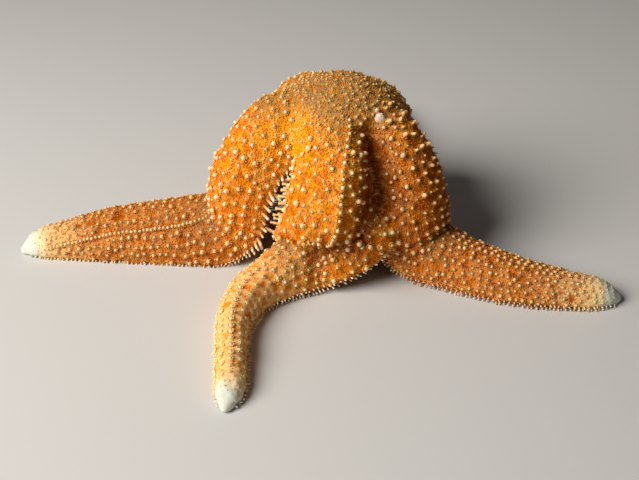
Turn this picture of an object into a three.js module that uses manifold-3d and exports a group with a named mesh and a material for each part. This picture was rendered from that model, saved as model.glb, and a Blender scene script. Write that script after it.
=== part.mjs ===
// A common starfish, life size, humped over on its five arms. Millimetres, +Z up, the floor at z = 0.
// The front of the model faces -Y. Every arm is a loft along its sole line: it leaves the disc level,
// turns down over the shoulder, falls as a flank, turns out again at the knee and lies on the floor.
import * as THREE from 'three';
import { LoftGeometry } from 'three/addons/geometries/LoftGeometry.js';
import { mergeVertices } from 'three/addons/utils/BufferGeometryUtils.js';
import Module from 'manifold-3d';

// ---- driving dimensions ----
const DISC_X = 7.8; // axis of the disc, from the middle of the footprint
const DISC_Y = -3;
const MOUTH_HEIGHT = 33; // the underside of the disc above the floor
const CROWN_RADIUS = 20; // the dome that fills the disc between the arms
const CROWN_HEIGHT = 16.5;
const PITCH = 82; // how steeply the flanks fall, degrees
const CROWN_RUN = 1; // level run of a sole before its shoulder bend
const TIP_ROUND = 8; // length of the rounded tip
const TIP_CLOSED = 0.05; // size of the last section, as a share of the full one
const PART_GAP = 0.3; // thin cut between neighbouring parts
const CONE_POINT = 16.5; // height of the point of the cone that parts the disc from the arms
const CONE_REACH = 46; // height and radius of that cone
const MOUTH_RADIUS = 6.5; // the hollow round the mouth, under the disc
const MOUTH_DEPTH = 3.2;
const LIP_RADIUS = 4.6; // the soft ring that closes the mouth
const LIP_THICKNESS = 1.4;
const MADREPORITE_RADIUS = 1.7; // the sieve plate, a pale button between the front and right arms
const MADREPORITE_HEIGHT = 0.9;
const MADREPORITE_HEADING = -50; // degrees, from the disc's axis
const MADREPORITE_REACH = 15.4; // its distance from the axis
const FURROW_DEPTH = 0.26; // depth of the sole furrow, as a share of the arm's height
const FURROW_EDGE = 0.36; // where the furrow ends and a flat begins, as a share of the sole's half width
const SOLE_SHARE = 0.92; // width of the flat sole, as a share of the arm's width
const MARGIN_SHARE = 0.12; // height of the arm's widest line, as a share of its height
const MARGIN_POWER = 0.9; // below 1 the back stays wide towards its margins
const KNEE_CUT = 0.12; // where the shoulder ends, as a share of the knee bend
const LENGTH_CUT = 0.08; // where the knee ends, as a share of the lying part
const TIP_CUT = 0.55; // where the tip begins, as a share of the lying part
const TIP_TURN_FROM = 0.75; // where the last turn of a lying part begins, as a share of it
const SWAY_FULL = 0.85; // where a sway is full, as a share of the knee bend
const SWAY_FADE = 0.45; // and where it has gone again, as a share of the lying part

// Girth along an arm: [share of the length, half width, height, roundness of the back].
// A roundness below 1 is full and boxy, 1 is an ellipse, and above 1 the back rises to a ridge.
const STOUT = [
  [0, 8, 13, 0.9], [0.12, 11.5, 16.5, 0.9], [0.3, 13.5, 16.4, 0.9], [0.5, 13, 14, 0.9],
  [0.75, 9.8, 10.8, 0.9], [0.93, 5.5, 7, 0.9], [1, 3.6, 5, 0.9],
];
const RIDGED = [
  [0, 8, 13, 1.1], [0.12, 12.5, 15.5, 1.25], [0.28, 17.5, 16.8, 1.25], [0.36, 14.6, 16.4, 1.2],
  [0.44, 10.2, 13.6, 1], [0.55, 7.6, 10.2, 0.9], [0.75, 4.5, 8.2, 0.9], [0.93, 4.1, 5.8, 0.9],
  [1, 3.3, 4.6, 0.9],
];
const SLENDER = [
  [0, 8, 13, 0.9], [0.12, 10.5, 15.5, 0.9], [0.3, 13, 16, 0.9], [0.45, 11.5, 15, 0.9],
  [0.58, 9.4, 11, 0.9], [0.75, 7.8, 9, 0.9], [0.93, 5.3, 6.6, 0.9], [1, 3.8, 5, 0.9],
];

// Headings and turns are degrees, anticlockwise seen from above. The lying part bends between
// bendFrom and bendTo, as shares of its length, and its last part turns by tipTurn more. Roll leans
// the lying part over to one side. Sway is how far the knee lies aside of the sole line, in mm, and
// kneeRoom the degrees by which the knee may reach beyond the sector of its arm.
const ARMS = [
  { name: 'left', heading: 190, shoulder: 20.5, knee: 15, kneeTurn: -9, lyingTurn: 7, lying: 56,
    bendFrom: 0, bendTo: 1, tipTurn: 18, roll: -14, girth: STOUT },
  { name: 'front', heading: -91, shoulder: 16.5, knee: 15, kneeTurn: -59.5, lyingTurn: 63.5, lying: 57.4,
    bendFrom: 0.12, bendTo: 0.56, tipTurn: -14, roll: 0, girth: RIDGED, sway: -5.6, kneeRoom: 20 },
  { name: 'right', heading: -35, shoulder: 16.5, knee: 13.5, kneeTurn: 4, lyingTurn: 27, lying: 52.5,
    bendFrom: 0, bendTo: 1, tipTurn: 0, roll: 0, girth: SLENDER },
  { name: 'back_right', heading: 52, shoulder: 14.5, knee: 17, kneeTurn: 30, lyingTurn: 10, lying: 52,
    bendFrom: 0, bendTo: 1, tipTurn: 0, roll: 0, girth: SLENDER },
  { name: 'back_left', heading: 122, shoulder: 17, knee: 17, kneeTurn: -24, lyingTurn: -10, lying: 52,
    bendFrom: 0, bendTo: 1, tipTurn: 0, roll: 0, girth: STOUT },
];

// ---- resolution of the faceted solids ----
const BACK_SPANS = 15; // spans over the back of a section
const SHOULDER_SPANS = 9; // spans between the stations of each stretch
const FLANK_SPANS = 2;
const KNEE_SPANS = 8;
const LENGTH_SPANS = 5;
const TIP_SPANS = 3;
const TIP_ANGLES = [26, 50, 71, 90]; // stations of the rounded tip, as angles of a quarter circle
const LINE_STEPS = 300; // integration steps along a sole line
const FLOOR_SNAP = 0.01; // what comes this near the floor lies on it
const RING_SPANS = 36; // spans round the disc
const FACET_TOLERANCE = 0.06; // how far a tidied facet may move

const rad = THREE.MathUtils.degToRad;
const { clamp, lerp, smoothstep } = THREE.MathUtils;

// ---- the sole line of an arm ----

// Straight interpolation in a table of rows; column 0 is the position, column k the value.
function lookUp(rows, x, k) {
  const next = rows.findIndex((row) => row[0] >= x);
  if (next <= 0) return next === 0 ? rows[0][k] : rows[rows.length - 1][k];
  const [a, b] = [rows[next - 1], rows[next]];
  return lerp(a[k], b[k], (x - a[0]) / (b[0] - a[0]));
}

// Arc lengths at which an arm's stretches end: crown, shoulder, flank, knee and lying part.
function stretches(arm) {
  const pitch = rad(PITCH);
  const bendDrop = (arm.shoulder + arm.knee) * (1 - Math.cos(pitch));
  const crown = CROWN_RUN;
  const shoulder = crown + arm.shoulder * pitch;
  const flank = shoulder + (MOUTH_HEIGHT - bendDrop) / Math.sin(pitch);
  const knee = flank + arm.knee * pitch;
  return { crown, shoulder, flank, knee, tip: knee + arm.lying };
}

// Forward, side and back (dorsal) directions at arc length s.
function directions(arm, ends, s) {
  const slope = [
    [0, 0], [ends.crown, 0], [ends.shoulder, PITCH], [ends.flank, PITCH], [ends.knee, 0], [ends.tip, 0],
  ];
  const pitch = rad(lookUp(slope, s, 1));
  const turnFrom = lerp(ends.shoulder, ends.flank, 0.2);
  const along = clamp((s - ends.knee) / arm.lying, 0, 1);
  const heading = rad(arm.heading
    + arm.kneeTurn * smoothstep(s, turnFrom, ends.knee)
    + arm.lyingTurn * smoothstep(along, arm.bendFrom, arm.bendTo)
    + arm.tipTurn * smoothstep(along, TIP_TURN_FROM, 1));
  const roll = rad(arm.roll) * smoothstep(s, ends.flank, ends.knee + 0.3 * arm.lying);
  const level = new THREE.Vector3(Math.cos(heading), Math.sin(heading), 0);
  const up = new THREE.Vector3(0, 0, 1);
  const forward = level.clone().multiplyScalar(Math.cos(pitch)).addScaledVector(up, -Math.sin(pitch));
  const back = level.clone().multiplyScalar(Math.sin(pitch)).addScaledVector(up, Math.cos(pitch));
  const side = new THREE.Vector3().crossVectors(back, forward);
  return { forward, side: side.applyAxisAngle(forward, roll), back: back.applyAxisAngle(forward, roll) };
}

// The sole line as points at equal steps, by adding up the forward directions.
function soleLine(arm, ends) {
  const step = ends.tip / LINE_STEPS;
  const points = [new THREE.Vector3(DISC_X, DISC_Y, MOUTH_HEIGHT)];
  for (let i = 0; i < LINE_STEPS; i += 1) {
    const { forward } = directions(arm, ends, (i + 0.5) * step);
    points.push(points[i].clone().addScaledVector(forward, step));
  }
  return (s) => {
    const at = clamp(s / step, 0, LINE_STEPS);
    const i = Math.min(Math.floor(at), LINE_STEPS - 1);
    return points[i].clone().lerp(points[i + 1], at - i);
  };
}

// ---- sections and lofts ----

// How far a section stands aside of the sole line at arc length s.
function swayAt(arm, ends, s) {
  const full = lerp(ends.flank, ends.knee, SWAY_FULL);
  const gone = ends.knee + SWAY_FADE * arm.lying;
  return (arm.sway ?? 0) * smoothstep(s, ends.shoulder + 2, full) * (1 - smoothstep(s, ends.knee, gone));
}

// Half width, height and roundness at arc length s, closing to a round tip.
function girthAt(arm, ends, s) {
  const [halfWidth, height, roundness] = [1, 2, 3].map((k) => lookUp(arm.girth, s / ends.tip, k));
  const left = clamp((ends.tip - s) / TIP_ROUND, 0, 1);
  const closing = Math.max(Math.sqrt(1 - (1 - left) ** 2), TIP_CLOSED);
  return { halfWidth: halfWidth * closing, height: height * closing, roundness };
}

// A section's outline as [side, back] pairs: over the back from one margin to the other, then along
// the sole, whose two flats have the furrow between them.
function outline({ halfWidth, height, roundness }) {
  const points = [];
  for (let i = 0; i <= BACK_SPANS; i += 1) {
    const angle = Math.PI / 2 - (Math.PI * i) / BACK_SPANS;
    const across = Math.sign(Math.sin(angle)) * Math.abs(Math.sin(angle)) ** MARGIN_POWER;
    const rise = Math.abs(Math.cos(angle)) ** roundness;
    points.push([halfWidth * across, height * (MARGIN_SHARE + (1 - MARGIN_SHARE) * rise)]);
  }
  const sole = [[-1, 0], [-FURROW_EDGE, 0], [0, FURROW_DEPTH], [FURROW_EDGE, 0], [1, 0]];
  for (const [across, rise] of sole) points.push([halfWidth * SOLE_SHARE * across, height * rise]);
  return points;
}

// A length of an arm as one closed loft through the stations listed. Nothing goes below the floor.
function armLoft(arm, stations) {
  const ends = stretches(arm);
  const line = soleLine(arm, ends);
  const sections = stations.map((s) => {
    const { side, back } = directions(arm, ends, s);
    const foot = line(s).addScaledVector(side, swayAt(arm, ends, s));
    return outline(girthAt(arm, ends, s)).map(([across, rise]) => {
      const point = foot.clone().addScaledVector(side, across).addScaledVector(back, rise);
      point.z = point.z < FLOOR_SNAP ? 0 : point.z;
      return point;
    });
  });
  return new LoftGeometry(sections, { capStart: true, capEnd: true });
}

// Equal steps from one arc length to another, with half a thin cut left at each end that has one.
function spread(from, to, spans, cutFrom = true, cutTo = true) {
  const a = from + (cutFrom ? PART_GAP / 2 : 0);
  const b = to - (cutTo ? PART_GAP / 2 : 0);
  return Array.from({ length: spans + 1 }, (_, i) => lerp(a, b, i / spans));
}

// Stations of the shoulder bend, which the disc and the shoulder share so that their facets meet.
function shoulderStations(shoulder) {
  return spread(0, shoulder, SHOULDER_SPANS, false, false);
}

// Stations that close up towards the end, so that the tip is round.
function tipStations(from, tip) {
  const roundFrom = tip - TIP_ROUND;
  const rounding = TIP_ANGLES.map((angle) => roundFrom + TIP_ROUND * Math.sin(rad(angle)));
  return [...spread(from, roundFrom, TIP_SPANS, true, false), ...rounding];
}

// ---- booleans ----
const wasm = await Module();
wasm.setup();

function toManifold(geometry) {
  const bare = new THREE.BufferGeometry();
  bare.setAttribute('position', geometry.getAttribute('position'));
  bare.setIndex(geometry.getIndex());
  const merged = mergeVertices(bare, 1e-4);
  return new wasm.Manifold(new wasm.Mesh({
    numProp: 3,
    vertProperties: new Float32Array(merged.attributes.position.array),
    triVerts: new Uint32Array(merged.index.array),
  }));
}

function toGeometry(solid) {
  const mesh = solid.getMesh();
  const geometry = new THREE.BufferGeometry();
  geometry.setAttribute('position', new THREE.BufferAttribute(mesh.vertProperties, 3));
  geometry.setIndex(new THREE.BufferAttribute(mesh.triVerts, 1));
  geometry.computeVertexNormals();
  return geometry;
}

// The same solid with its flat facets in as few triangles as they need.
function tidied(solid) {
  return solid.simplify(FACET_TOLERANCE);
}

// The dome over the middle of the disc, flat at the mouth's level.
function crownDome() {
  const profile = [new THREE.Vector2(0, 0), new THREE.Vector2(CROWN_RADIUS, 0)];
  for (let angle = 10; angle < 90; angle += 10) {
    const [c, s] = [Math.cos(rad(angle)), Math.sin(rad(angle))];
    profile.push(new THREE.Vector2(CROWN_RADIUS * c, CROWN_HEIGHT * s));
  }
  profile.push(new THREE.Vector2(0, CROWN_HEIGHT));
  const dome = new THREE.LatheGeometry(profile, RING_SPANS);
  dome.rotateX(Math.PI / 2).translate(DISC_X, DISC_Y, MOUTH_HEIGHT);
  return toManifold(dome);
}

// A cone standing on its point under the disc: what lies inside it is the disc, and its slope cuts
// the shoulders square across. Lowering it by a little leaves the thin cut.
function discCone(lower) {
  const profile = [
    new THREE.Vector2(0, 0), new THREE.Vector2(CONE_REACH, CONE_REACH), new THREE.Vector2(0, CONE_REACH),
  ];
  const cone = new THREE.LatheGeometry(profile, RING_SPANS);
  cone.rotateX(Math.PI / 2).translate(DISC_X, DISC_Y, CONE_POINT - lower);
  return toManifold(cone);
}

// The sector of space that belongs to one arm, halfway to its neighbours' headings, and wider by
// some degrees towards the last neighbour.
function armSector(index, wider = 0) {
  const heading = (i) => rad(ARMS[(i + ARMS.length) % ARMS.length].heading);
  const turn = (from, to) => THREE.MathUtils.euclideanModulo(to - from, 2 * Math.PI);
  const own = heading(index);
  const toNext = turn(own, heading(index + 1)) / 2;
  const toLast = turn(heading(index - 1), own) / 2 + rad(wider);
  const reach = 90;
  const start = PART_GAP / 2 / Math.sin((toNext + toLast) / 2);
  const middle = own + (toNext - toLast) / 2;
  const corner = (angle) => new THREE.Vector2(reach * Math.cos(angle), reach * Math.sin(angle));
  const shape = new THREE.Shape([new THREE.Vector2(0, 0), corner(own - toLast), corner(own + toNext)]);
  const sector = new THREE.ExtrudeGeometry(shape, { depth: 70, bevelEnabled: false });
  sector.translate(DISC_X + start * Math.cos(middle), DISC_Y + start * Math.sin(middle), -10);
  return toManifold(sector);
}

// ---- materials and parts ----
const ORANGE = 0xd9761f;
const PALE_TIP = 0xe6c3a0;
const PALE_FLESH = 0xdcb28c;
const SKIN_ROUGHNESS = 0.6;

const group = new THREE.Group();

function addPart(name, solid, colour) {
  const material = new THREE.MeshStandardMaterial({ color: colour, roughness: SKIN_ROUGHNESS, metalness: 0 });
  const mesh = new THREE.Mesh(toGeometry(solid), material);
  mesh.name = name;
  group.add(mesh);
}

// Each arm in four lengths. Where neighbours press together, at the shoulder and knee, each keeps
// to its own sector.
function addArms() {
  const cone = discCone(PART_GAP / Math.SQRT2);
  const dome = crownDome();
  ARMS.forEach((arm, index) => {
    const { shoulder, flank, knee, tip } = stretches(arm);
    const kneeFrom = lerp(flank, knee, KNEE_CUT);
    const lengthFrom = lerp(knee, tip, LENGTH_CUT);
    const tipFrom = lerp(knee, tip, TIP_CUT);
    const sector = armSector(index);
    const flankStations = spread(shoulder, kneeFrom, FLANK_SPANS, false).slice(1);
    const upper = armLoft(arm, [...shoulderStations(shoulder), ...flankStations]);
    const lengths = {
      shoulder: tidied(toManifold(upper).add(dome).intersect(sector).subtract(cone)),
      knee: toManifold(armLoft(arm, spread(kneeFrom, lengthFrom, KNEE_SPANS)))
        .intersect(armSector(index, arm.kneeRoom)),
      length: toManifold(armLoft(arm, spread(lengthFrom, tipFrom, LENGTH_SPANS))),
      tip: toManifold(armLoft(arm, tipStations(tipFrom, tip))),
    };
    for (const [part, solid] of Object.entries(lengths)) {
      addPart(`arm_${arm.name}_${part}`, solid, part === 'tip' ? PALE_TIP : ORANGE);
    }
  });
}

// A round form about the disc's axis, from its profile as [radius, height above the mouth's level].
function aboutAxis(profile) {
  const form = new THREE.LatheGeometry(profile.map(([r, z]) => new THREE.Vector2(r, z)), RING_SPANS);
  return form.rotateX(Math.PI / 2).translate(DISC_X, DISC_Y, MOUTH_HEIGHT);
}

function addDisc() {
  let body = crownDome();
  for (const arm of ARMS) {
    const { shoulder } = stretches(arm);
    body = body.add(toManifold(armLoft(arm, shoulderStations(shoulder).slice(2, 8))));
  }
  const hollow = aboutAxis([
    [0, -1], [MOUTH_RADIUS, -1], [MOUTH_RADIUS * 0.9, MOUTH_DEPTH * 0.7], [MOUTH_RADIUS * 0.6, MOUTH_DEPTH],
    [0, MOUTH_DEPTH],
  ]);
  const whole = body.intersect(discCone(0)).subtract(toManifold(hollow));
  addPart('disc', tidied(whole), ORANGE);
}

// The soft ring round the mouth, hung under the roof of the hollow, with the mouth as a dimple.
function addMouth() {
  const roof = MOUTH_DEPTH - PART_GAP;
  const lip = roof - LIP_THICKNESS;
  const profile = [
    [0, lip + LIP_THICKNESS * 0.6], [LIP_RADIUS * 0.2, lip + LIP_THICKNESS * 0.5], [LIP_RADIUS * 0.4, lip],
    [LIP_RADIUS * 0.7, lip], [LIP_RADIUS * 0.8, roof], [0, roof],
  ];
  addPart('mouth', toManifold(aboutAxis(profile)), PALE_FLESH);
}

// The madreporite sits on the disc where a straight drop from above meets it, square to the surface.
function addMadreporite() {
  const heading = rad(MADREPORITE_HEADING);
  const above = new THREE.Vector3(
    DISC_X + MADREPORITE_REACH * Math.cos(heading), DISC_Y + MADREPORITE_REACH * Math.sin(heading), 100,
  );
  const disc = group.children.find((mesh) => mesh.name === 'disc');
  const [hit] = new THREE.Raycaster(above, new THREE.Vector3(0, 0, -1)).intersectObject(disc);
  const profile = [[0, 0], [1, 0], [0.95, 0.5], [0.7, 0.9], [0.35, 1], [0, 1]]
    .map(([r, z]) => new THREE.Vector2(r * MADREPORITE_RADIUS, z * MADREPORITE_HEIGHT));
  const button = new THREE.LatheGeometry(profile, RING_SPANS / 3);
  const { point, face: { normal } } = hit;
  button.applyQuaternion(new THREE.Quaternion().setFromUnitVectors(new THREE.Vector3(0, 1, 0), normal));
  button.translate(point.x, point.y, point.z);
  const cleared = toManifold(disc.geometry).translate(normal.clone().multiplyScalar(PART_GAP).toArray());
  addPart('madreporite', toManifold(button).subtract(cleared), PALE_FLESH);
}

addDisc();
addMouth();
addMadreporite();
addArms();

export default group;
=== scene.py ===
"""A common starfish, life size, humped over on its five arms.

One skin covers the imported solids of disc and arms. Spines, gills, margin combs and tube feet grow
from it as joined meshes. Arm shapes are worked out in millimetres, as the maker measures them, and
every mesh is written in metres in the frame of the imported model.
"""
import math
from itertools import product

import bmesh
import bpy
import numpy as np
from mathutils import Matrix, Vector, noise
from mathutils.bvhtree import BVHTree
from mathutils.kdtree import KDTree


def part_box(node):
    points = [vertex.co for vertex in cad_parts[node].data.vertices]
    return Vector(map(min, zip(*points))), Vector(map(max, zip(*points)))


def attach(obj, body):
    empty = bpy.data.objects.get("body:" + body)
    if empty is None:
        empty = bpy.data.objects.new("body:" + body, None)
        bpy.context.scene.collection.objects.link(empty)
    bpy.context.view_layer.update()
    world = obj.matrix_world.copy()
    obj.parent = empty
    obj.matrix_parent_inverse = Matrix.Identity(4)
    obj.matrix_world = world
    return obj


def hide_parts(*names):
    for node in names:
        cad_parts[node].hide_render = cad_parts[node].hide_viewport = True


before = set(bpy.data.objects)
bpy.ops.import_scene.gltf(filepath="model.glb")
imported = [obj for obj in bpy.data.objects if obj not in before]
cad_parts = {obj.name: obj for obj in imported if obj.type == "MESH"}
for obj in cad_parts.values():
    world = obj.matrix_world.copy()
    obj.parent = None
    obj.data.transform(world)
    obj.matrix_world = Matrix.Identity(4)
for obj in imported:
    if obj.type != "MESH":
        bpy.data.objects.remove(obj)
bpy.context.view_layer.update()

MM = 0.001

# ---- sizes of the body, in mm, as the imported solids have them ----
DISC_AXIS = (7.8, -3.0)
MOUTH_HEIGHT = 33.0  # the underside of the disc above the floor
CROWN_RADIUS = 20.0  # the dome that fills the disc between the arms
CROWN_HEIGHT = 16.5
PITCH = 82.0  # how steeply the flanks fall, in degrees
CROWN_RUN = 1.0  # level run of a sole before its shoulder bend
TIP_ROUND = 8.0
TIP_CLOSED = 0.03  # size of the last section, as a share of the full one
FURROW_DEPTH = 0.26  # as a share of the arm's height
FURROW_EDGE = 0.36  # where the furrow ends, as a share of the sole's half width
SOLE_SHARE = 0.92  # width of the sole, as a share of the arm's width
MARGIN_SHARE = 0.12  # height of the arm's widest line, as a share of its height
MARGIN_POWER = 0.9
KNEE_TURN_FROM = 0.2  # where an arm begins to turn aside, as a share of its flank
ROLL_FULL = 0.3  # where a roll is full, as a share of the lying part
TIP_TURN_FROM = 0.75  # where the last turn begins, as a share of the lying part
SWAY_FROM = 2.0  # where a sway begins, past the shoulder
SWAY_FULL = 0.85  # where it is full, as a share of the knee bend
SWAY_FADE = 0.45  # and where it has gone again, as a share of the lying part

# ---- sizes of the coat, in mm ----
COAT = 0.65  # how far the skin lies inside the solids on the back and sides
SOLE_LIFT = 0.45  # how far it lies above the floor
VOXEL = 0.62  # grain of the skin's mesh
FLOOR_CLEAR = 0.08  # nothing of the coat goes lower
SKIN_ROUNDS = 5  # rounds of smoothing for the whole skin
CREASE_ROUNDS = 60  # rounds of smoothing that draw the skin across a crease
CREASE_FILL = 0.5  # the most that a crease is filled
SADDLES = {-130: 1.1, 156: 1.3}  # how much more in the shallow saddles, by their heading in degrees
SADDLE_SPREAD = 22  # degrees
MOUND_AT = (-12.0, 0.5, 41.0)  # the left shoulder is fuller than the solids where it meets the crown
MOUND_REACH = 6.0
MOUND_HEIGHT = 1.3

# Girth along an arm: share of the length, half width, height, roundness of the back.
STOUT = [
    (0, 8, 13, 0.9), (0.12, 11.5, 16.5, 0.9), (0.3, 13.5, 16.4, 0.9), (0.5, 13, 14, 0.9),
    (0.75, 9.8, 10.8, 0.9), (0.93, 5.5, 7, 0.9), (1, 3.6, 5, 0.9),
]
RIDGED = [
    (0, 8, 13, 1.1), (0.12, 12.5, 15.5, 1.25), (0.28, 17.5, 16.8, 1.25), (0.36, 14.6, 16.4, 1.2),
    (0.44, 10.2, 13.6, 1), (0.55, 7.6, 10.2, 0.9), (0.75, 4.5, 8.2, 0.9), (0.93, 4.1, 5.8, 0.9),
    (1, 3.3, 4.6, 0.9),
]
SLENDER = [
    (0, 8, 13, 0.9), (0.12, 10.5, 15.5, 0.9), (0.3, 13, 16, 0.9), (0.45, 11.5, 15, 0.9),
    (0.58, 9.4, 11, 0.9), (0.75, 7.8, 9, 0.9), (0.93, 5.3, 6.6, 0.9), (1, 3.8, 5, 0.9),
]
PLAIN = dict(bend=(0, 1), tip_turn=0, roll=0, sway=0, drift=(0, 0, 0))
ARMS = [
    dict(PLAIN, name="left", heading=190, shoulder=20.5, knee=15, knee_turn=-9, lying_turn=7, lying=56,
         tip_turn=18, roll=-14, girth=STOUT, drift=(0, 0, 5.0)),
    dict(PLAIN, name="front", heading=-91, shoulder=16.5, knee=15, knee_turn=-59.5, lying_turn=63.5,
         lying=57.4, bend=(0.12, 0.56), tip_turn=-14, girth=RIDGED, sway=-5.6, drift=(2.4, -2.6, 0)),
    dict(PLAIN, name="right", heading=-35, shoulder=16.5, knee=13.5, knee_turn=4, lying_turn=27,
         lying=52.5, girth=SLENDER),
    dict(PLAIN, name="back_right", heading=52, shoulder=14.5, knee=17, knee_turn=30, lying_turn=10,
         lying=52, girth=SLENDER),
    dict(PLAIN, name="back_left", heading=122, shoulder=17, knee=17, knee_turn=-24, lying_turn=-10,
         lying=52, girth=STOUT),
]

rng = np.random.default_rng(11)


# ---- small helpers ----

def ease(low, high, x):
    """From 0 at low to 1 at high, with soft ends."""
    t = np.clip((np.asarray(x, float) - low) / (high - low), 0, 1)
    return t * t * (3 - 2 * t)


def window(low, full, fading, gone, x):
    """Rises to 1 between the first two marks and falls again between the last two."""
    return ease(low, full, x) * (1 - ease(fading, gone, x))


def bell(x):
    return np.exp(-(x**2))


def distances(points, place):
    return np.linalg.norm(points - place, axis=1)


def unit(v):
    return v / np.maximum(np.linalg.norm(v, axis=-1, keepdims=True), 1e-9)


def placed(name, data):
    """An object in the scene, made from a mesh, a lamp or a camera."""
    obj = bpy.data.objects.new(name, data)
    bpy.context.scene.collection.objects.link(obj)
    return obj


def finished(name, mesh, material):
    """A shown object at the origin, smooth all over, riding on the body."""
    obj = placed(name, mesh)
    mesh.materials.append(material)
    mesh.polygons.foreach_set("use_smooth", np.ones(len(mesh.polygons), bool))
    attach(obj, "root")
    return obj


def mesh_from(bm, name):
    mesh = bpy.data.meshes.new(name)
    bm.to_mesh(mesh)
    bm.free()
    return mesh


def add_attribute(mesh, name, values):
    layer = mesh.attributes.new(name, "FLOAT", "POINT")
    layer.data.foreach_set("value", np.asarray(values, np.float32))


def rows_of(items, key, number=np.float32):
    """Three values for each vertex or triangle, as rows."""
    flat = np.empty(len(items) * 3, number)
    items.foreach_get(key, flat)
    return flat.reshape(-1, 3)


def places_of(mesh):
    """The vertices' places in mm."""
    return rows_of(mesh.vertices, "co").astype(float) / MM


def set_places(mesh, places):
    """Puts the vertices at those places in mm."""
    mesh.vertices.foreach_set("co", (places * MM).astype(np.float32).ravel())


def square_to(up, turn):
    """For each row of up, the direction square to it at that turn about it."""
    helper = np.where(np.abs(up[:, 2:3]) < 0.9, [[0, 0, 1.0]], [[1.0, 0, 0]])
    first = unit(np.cross(helper, up))
    return first * np.cos(turn)[:, None] + np.cross(up, first) * np.sin(turn)[:, None]


# ---- the sole line and the sections of an arm ----

def back_at(angle, roundness):
    """Across and rise of the back's outline at that angle from its middle."""
    across = np.sign(angle) * np.abs(np.sin(angle)) ** MARGIN_POWER
    return across, MARGIN_SHARE + (1 - MARGIN_SHARE) * np.abs(np.cos(angle)) ** roundness


def furrow_at(sole):
    """Rise of the furrow at that share of the sole's half width."""
    return FURROW_DEPTH * np.cos(np.clip(np.abs(sole) / FURROW_EDGE, 0, 1) * math.pi / 2) ** 2


class Arm:
    """An arm's sole line, worked out once, and the section that stands on it at any arc length."""

    STEPS = 600
    BACK_POINTS = 49

    def __init__(self, index, arm):
        self.index, self.name, self.girth = index, arm["name"], arm["girth"]
        pitch = math.radians(PITCH)
        self.shoulder_end = CROWN_RUN + arm["shoulder"] * pitch
        drop = MOUTH_HEIGHT - (arm["shoulder"] + arm["knee"]) * (1 - math.cos(pitch))
        self.flank_end = self.shoulder_end + drop / math.sin(pitch)
        self.knee_end = self.flank_end + arm["knee"] * pitch
        self.tip = self.knee_end + arm["lying"]
        s = np.linspace(0, self.tip, self.STEPS + 1)
        bends = [0, CROWN_RUN, self.shoulder_end, self.flank_end, self.knee_end, self.tip]
        fall = np.radians(np.interp(s, bends, [0, 0, PITCH, PITCH, 0, 0]))
        turn_from = self.shoulder_end + KNEE_TURN_FROM * (self.flank_end - self.shoulder_end)
        roll_full = self.knee_end + ROLL_FULL * arm["lying"]
        along = np.clip((s - self.knee_end) / arm["lying"], 0, 1)
        heading = np.radians(
            arm["heading"]
            + arm["knee_turn"] * ease(turn_from, self.knee_end, s)
            + arm["lying_turn"] * ease(*arm["bend"], along)
            + arm["tip_turn"] * ease(TIP_TURN_FROM, 1, along)
        )
        roll = np.radians(arm["roll"]) * ease(self.flank_end, roll_full, s)
        level = np.stack([np.cos(heading), np.sin(heading), 0 * s], -1)
        up = np.array([0, 0, 1.0])
        forward = level * np.cos(fall)[:, None] - up * np.sin(fall)[:, None]
        back = level * np.sin(fall)[:, None] + up * np.cos(fall)[:, None]
        side = np.cross(back, forward)
        steps = (forward[1:] + forward[:-1]) / 2 * (s[1] - s[0])
        start = np.array([*DISC_AXIS, MOUTH_HEIGHT])
        cos_roll, sin_roll = np.cos(roll)[:, None], np.sin(roll)[:, None]
        sway_full = self.flank_end + SWAY_FULL * (self.knee_end - self.flank_end)
        sway_gone = self.knee_end + SWAY_FADE * arm["lying"]
        sway = window(self.shoulder_end + SWAY_FROM, sway_full, self.knee_end, sway_gone, s)
        self.s = s
        self.points = np.concatenate([[start], start + np.cumsum(steps, 0)])
        self.points += side * (arm["sway"] * sway)[:, None]
        self.forward = forward
        self.side = side * cos_roll + back * sin_roll
        self.back = back * cos_roll - side * sin_roll
        self.drift = arm["drift"]

    def at(self, s, rows):
        """A point or direction of the sole line at arc length s."""
        return np.stack([np.interp(s, self.s, rows[:, k]) for k in range(3)], -1)

    def section(self, s):
        """Half width, height and roundness of the skin's section at arc length s."""
        share = np.asarray(s) / self.tip
        rows = np.array(self.girth)
        half, height, roundness = [np.interp(share, rows[:, 0], rows[:, k]) for k in (1, 2, 3)]
        left = np.clip((self.tip - COAT - s) / TIP_ROUND, 0, 1)
        closing = np.maximum(np.sqrt(1 - (1 - left) ** 2), TIP_CLOSED)
        return (half - COAT) * closing, (height - COAT - SOLE_LIFT) * closing, roundness

    def surface(self, s, across, rise):
        """Points of the body in mm. Across runs from -1 to 1 margin to margin, rise from 0 to 1."""
        half, height, _ = self.section(s)
        point = (
            self.at(s, self.points)
            + self.at(s, self.side) * (half * across)[..., None]
            + self.at(s, self.back) * (SOLE_LIFT + height * rise)[..., None]
        )
        point[..., 2] = np.maximum(point[..., 2], SOLE_LIFT)
        return point

    def point(self, s, across, rise):
        """One point of the body."""
        return self.surface(*(np.array([value]) for value in (s, across, rise)))[0]

    def middle(self, s):
        """How far the middle row of spines runs aside of the arm's middle."""
        return np.interp(s, [10, self.flank_end, self.knee_end + 6], self.drift)

    def over_the_back(self, s):
        """The back's outline at arc length s: distance from the middle row to each point of one half."""
        half, height, roundness = self.section(s)
        across, rise = back_at(np.linspace(0, math.pi / 2, self.BACK_POINTS), roundness)
        run = np.hypot(np.diff(across * half), np.diff(rise * height))
        return across, rise, np.concatenate([[0], np.cumsum(run)])


arms = [Arm(i, arm) for i, arm in enumerate(ARMS)]
front = arms[1]


def for_arm(arm, table):
    """The arm's entry in a table, or the usual one."""
    return table.get(arm.name, table["usual"])


def per_arm(table, owner):
    return np.array([for_arm(arm, table) for arm in arms])[owner]


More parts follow.
